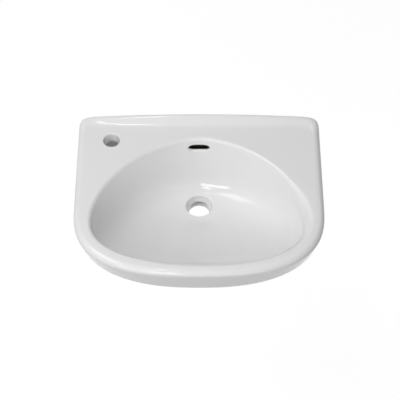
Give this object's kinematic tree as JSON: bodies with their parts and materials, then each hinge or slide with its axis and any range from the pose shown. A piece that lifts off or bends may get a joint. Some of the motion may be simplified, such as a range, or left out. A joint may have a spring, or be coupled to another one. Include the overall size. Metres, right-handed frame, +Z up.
{
  "type": "wall hung basin",
  "caption": "Wall hung ceramic basin with an oval bowl, offset tap hole, rear overflow slot, upstand and skirt, with its wall bolts.",
  "frame": {"origin": "on the building's wall face, midway between the two fixing holes", "axes": "+X to the user's right along the wall, +Y into the wall, +Z up; the basin reaches out along -Y"},
  "size_m": [0.52, 0.471, 0.1708],
  "materials": {
    "glazed_casting": "glossy white glaze",
    "zinc_steel": "bright zinc plate",
    "grey_nylon": "matt moulded nylon",
    "white_nylon": "matt moulded nylon",
    "white_cap": "glossy moulded plastic"
  },
  "bodies": {
    "root": {"basin_body": "glazed_casting", "hanger_bolt_left": "zinc_steel", "wall_plug_left": "grey_nylon", "fixing_bush_left": "white_nylon", "washer_left": "zinc_steel", "nut_left": "zinc_steel", "cover_cap_left": "white_cap", "hanger_bolt_right": "zinc_steel", "wall_plug_right": "grey_nylon", "fixing_bush_right": "white_nylon", "washer_right": "zinc_steel", "nut_right": "zinc_steel", "cover_cap_right": "white_cap"}
  },
  "joints": []
}
